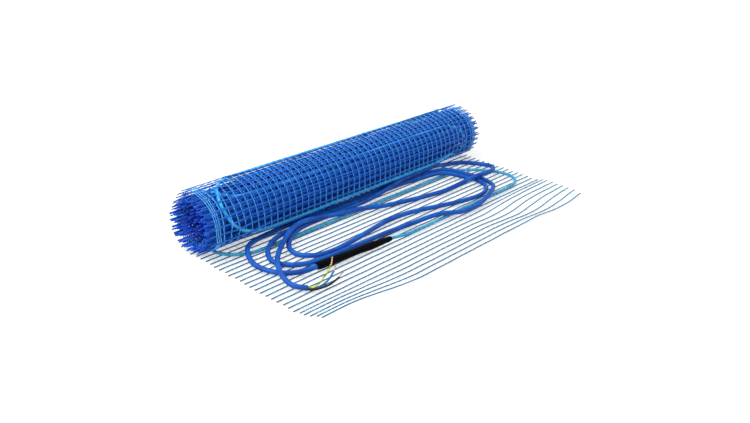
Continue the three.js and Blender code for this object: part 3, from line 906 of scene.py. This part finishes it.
# the rolled lengths wear the jacket with painted reflection, the hidden length the jacket with painted
# light
wound_cable.data.materials.append(wound_jacket_painted_reflection)
under_cable.data.materials.append(wound_jacket_painted_reflection)
inner_cable.data.materials.append(inner_jacket_painted_light)
print("laid cable", round(float(run_along(cable_line)[-1]), 3), "m")

# %% [markdown]
# A sewing machine ties the cable to the mesh with pale thread, a stitch each 8 mm or so. A stitch is a
# small torus around the cable with its lower half drawn outwards, down into the mesh. It is made once,
# and each copy is turned to its place on the cable.

# %% Stitch the cable down
STITCH_PITCH = 8.35 * MM
STITCH_THREAD = 0.12 * MM
STITCH_SPREAD = 1.35
STITCH_SEGMENTS = 12
STITCH_SIDES = 4
UNDER_SLEEVE = 35 * MM
BEFORE_ROLL = 4 * MM


def stitch_line(name, line, start, end):
    run = run_along(line)
    bpy.ops.object.select_all(action="DESELECT")
    bpy.ops.mesh.primitive_torus_add(
        major_radius=CABLE_DIAMETER / 2 + STITCH_THREAD, minor_radius=STITCH_THREAD,
        major_segments=STITCH_SEGMENTS, minor_segments=STITCH_SIDES, rotation=(0, math.pi / 2, 0),
    )
    pattern = bpy.context.object
    bpy.ops.object.transform_apply(location=False, rotation=True, scale=False)
    for corner in pattern.data.vertices:
        if corner.co.z < 0:
            corner.co.y *= STITCH_SPREAD
    copies = []
    for place in np.arange(start, run[-1] - end, STITCH_PITCH):
        here = Vector([float(np.interp(place, run, line[:, axis])) for axis in range(3)])
        there = Vector([float(np.interp(place + MM, run, line[:, axis])) for axis in range(3)])
        way = (there - here).normalized()
        side_way = Vector((0, 0, 1)).cross(way).normalized()
        copy = pattern.copy()
        copy.data = pattern.data.copy()
        bpy.context.scene.collection.objects.link(copy)
        turned = Matrix((way, side_way, way.cross(side_way))).transposed().to_4x4()
        copy.data.transform(Matrix.Translation(here) @ turned)
        copy.select_set(True)
        copies.append(copy)
    bpy.data.objects.remove(pattern)
    bpy.context.view_layer.objects.active = copies[0]
    bpy.ops.object.join()
    row = bpy.context.object
    row.name = row.data.name = name
    row.data.shade_smooth()
    row.data.materials.append(stitch_thread)
    return row


laid_stitches = stitch_line("laid_stitches", cable_line, UNDER_SLEEVE, BEFORE_ROLL)
print(len(laid_stitches.data.polygons) // (STITCH_SEGMENTS * STITCH_SIDES), "stitches")

# %% [markdown]
# ## The splice sleeve
# The sleeve is one tube whose radius changes along its length: blunt where it grips the thick lead, tight
# over the thin cable, with two soft bulges where the crimps lie inside. A scaled cylinder could be pushed
# into that shape, but a list of radii, softened by a Smooth modifier, is easier to read. Each row is a
# share of the length and a radius in millimetres.

# %% Shrink the sleeve over the splice
SLEEVE_LEAD_END = (-172, -123.8)
SLEEVE_CABLE_END = (-58.5, -133.2)
SLEEVE_PROFILE = [
    (0, 3.9), (0.01, 4.4), (0.04, 4.65), (0.12, 4.7), (0.25, 4.45), (0.35, 4.15), (0.45, 4.0), (0.56, 4.1),
    (0.66, 4.5), (0.74, 4.55), (0.82, 4.1), (0.9, 3.6), (0.96, 3.4), (0.99, 3.1), (1.0, 2.7),
]
SLEEVE_RINGS = 72
SLEEVE_SIDES = 28
lead_mouth, cable_mouth = np.array(on_mesh([(*SLEEVE_LEAD_END, 0), (*SLEEVE_CABLE_END, 0)], SLEEVE_LEVEL))
sleeve_shares = np.linspace(0, 1, SLEEVE_RINGS)
sleeve_line = lead_mouth + sleeve_shares[:, None] * (cable_mouth - lead_mouth)
profile = np.array(SLEEVE_PROFILE)
sleeve_radii = np.interp(sleeve_shares, profile[:, 0], profile[:, 1]) * MM
sleeve = tube("shrink_sleeve", sleeve_line, sleeve_radii, SLEEVE_SIDES)
sleeve.data.materials.append(shrink_tube)
bpy.context.view_layer.objects.active = sleeve
softened = sleeve.modifiers.new("softened", "SMOOTH")
softened.iterations = 3
bpy.ops.object.modifier_apply(modifier="softened")
print("sleeve", round(float(np.linalg.norm(sleeve_line[-1] - sleeve_line[0])), 3), "m long")

# %% [markdown]
# ## The lead's cores
# Three insulated cores fan out of the lead's cut end. From each, a stripped end of seven twisted copper
# strands sticks out, six round one, and they splay a little where they were cut. One thick copper rod
# would be simpler, but the strands catch the light one by one. Each row gives a core's place round the
# lead's section, then where it bows, where its insulation ends, and where the copper ends, as x, distance
# in front of the roll and height in millimetres.

# %% Fan out the cores
CORE_RING = 1.4 * MM
CORE_STEPS = 12
COPPER_STRANDS = 7
COPPER_STEPS = 10
COPPER_SIDES = 6
SPLAY = 0.25
SHORTEST_STRAND = 0.94
STRAND_STAGGER = 0.01
CORES = {
    "earth": (90, (-190, -151, 9.5), (-171, -144.5, 17), (-164, -139, 22), earth_insulation),
    "neutral": (210, (-190, -156, 7), (-173, -150.5, 12), (-165.5, -146.5, 16), blue_insulation),
    "live": (330, (-189, -160, 5.3), (-173, -158, 7.5), (-164, -156.5, 10.5), brown_insulation),
}
lead_ends = [Vector(p) for p in on_mesh(LEAD_POINTS[-2:], LEAD_LEVEL)]
lead_way = (lead_ends[1] - lead_ends[0]).normalized()
lead_side = lead_way.cross(Vector((0, 0, 1))).normalized()
lead_up = lead_side.cross(lead_way)
lead_pieces = []
for name, (turn, bow, tip, stripped, insulation) in CORES.items():
    around = math.radians(turn)
    start = lead_ends[1] + lead_way * SEAT_GAP
    start += (lead_side * math.cos(around) + lead_up * math.sin(around)) * CORE_RING
    bend = [start, start + lead_way * CORE_DIAMETER * 2]
    bend += [Vector((x, ROLL_Y / MM + y, z)) * MM for x, y, z in (bow, tip)]
    core = tube(name + "_core", smooth_route(bend, CORE_STEPS), CORE_DIAMETER / 2)
    core.data.materials.append(insulation)
    bare_end = Vector((stripped[0], ROLL_Y / MM + stripped[1], stripped[2])) * MM
    outward = (bare_end - bend[-1]).normalized()
    bare = bend[-1] + outward * SEAT_GAP
    strand_side = outward.cross(Vector((0, 0, 1))).normalized()
    strand_up = strand_side.cross(outward)
    bpy.ops.object.select_all(action="DESELECT")
    strands = []
    for number in range(COPPER_STRANDS):
        ring = 0 if number == 0 else COPPER_DIAMETER / 3
        reach = SHORTEST_STRAND + STRAND_STAGGER * number
        line = []
        for share in np.linspace(0, 1, COPPER_STEPS):
            twist = number * math.pi / 3 + share * math.pi
            off = (strand_side * math.cos(twist) + strand_up * math.sin(twist)) * ring * (1 + SPLAY * share)
            line.append(bare.lerp(bare_end, share * reach) + off)
        strands.append(tube(name + "_strand", line, COPPER_DIAMETER / 6, COPPER_SIDES))
        strands[-1].select_set(True)
    bpy.context.view_layer.objects.active = strands[0]
    bpy.ops.object.join()
    strands[0].name = strands[0].data.name = name + "_copper"
    strands[0].data.materials.append(copper)
    lead_pieces += [core, strands[0]]
print("cores and coppers:", [piece.name for piece in lead_pieces])

# %% [markdown]
# ## The stage
# A plain pale floor and soft light from all round, as in a catalogue picture. The paper glows a little,
# as on a light table, so shadows on it stay pale. The floor lies half a millimetre below the mesh.

# %% Floor and light
FLOOR_SIZE = 6
FLOOR_LEVEL = -0.5 * MM
bpy.ops.mesh.primitive_plane_add(size=FLOOR_SIZE, location=(0, 0, FLOOR_LEVEL))
floor = bpy.context.object
floor.name = "floor"
paper = finish_named(
    "white seamless paper, lit from below", Roughness=0.95, Specular_IOR_Level=0.1,
    Base_Color=linear("#b4b4b4"), Emission_Color=linear("#ffffff"), Emission_Strength=0.56,
)[0]
floor.data.materials.append(paper)

world = bpy.data.worlds.new("soft daylight")
bpy.context.scene.world = world
world.use_nodes = True
world.node_tree.nodes["Background"].inputs["Color"].default_value = (1, 1, 1, 1)
world.node_tree.nodes["Background"].inputs["Strength"].default_value = 0.95


def softbox(name, place, size, power):
    bpy.ops.object.light_add(type="AREA", location=place)
    lamp = bpy.context.object
    lamp.name = name
    lamp.data.size = size
    lamp.data.energy = power
    lamp.rotation_euler = (Vector((0, 0, 0)) - Vector(place)).to_track_quat("-Z", "Y").to_euler()
    return lamp


softbox("key softbox", (-1.0, 0.5, 1.6), 1.2, 30)
softbox("fill softbox", (-0.9, -1.1, 1.3), 1.8, 5)
bpy.context.scene.view_settings.view_transform = "Standard"
print("stage set")

# %% [markdown]
# Every piece rides on the mat's one body, and the imported solids that the pieces stand for are hidden.

# %% Put each piece on the mat's body and hide the imported solids
SLOTS = {
    "mesh": (laid_wefts, laid_warps, rolled_wefts, rolled_warps, inner_warps),
    "heating_cable": (laid_cable, wound_cable, under_cable, inner_cable, laid_stitches),
    "cold_lead": (lead,),
    "sleeve": (sleeve,),
    "earth_core": lead_pieces[0:1],
    "neutral_core": lead_pieces[2:3],
    "live_core": lead_pieces[4:5],
    "copper": lead_pieces[1::2],
}
for slot, pieces in SLOTS.items():
    for piece in pieces:
        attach(piece, "root")
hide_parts("mesh_sheet")
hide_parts("mesh_roll")
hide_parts("heating_cable")
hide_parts("heating_cable_wound")
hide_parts("splice_sleeve")
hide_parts("cold_lead")
for piece in lead_pieces:
    name, kind = piece.name.split("_")
    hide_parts(kind + "_" + name)
print(sum(len(pieces) for pieces in SLOTS.values()), "pieces ride on the mat")
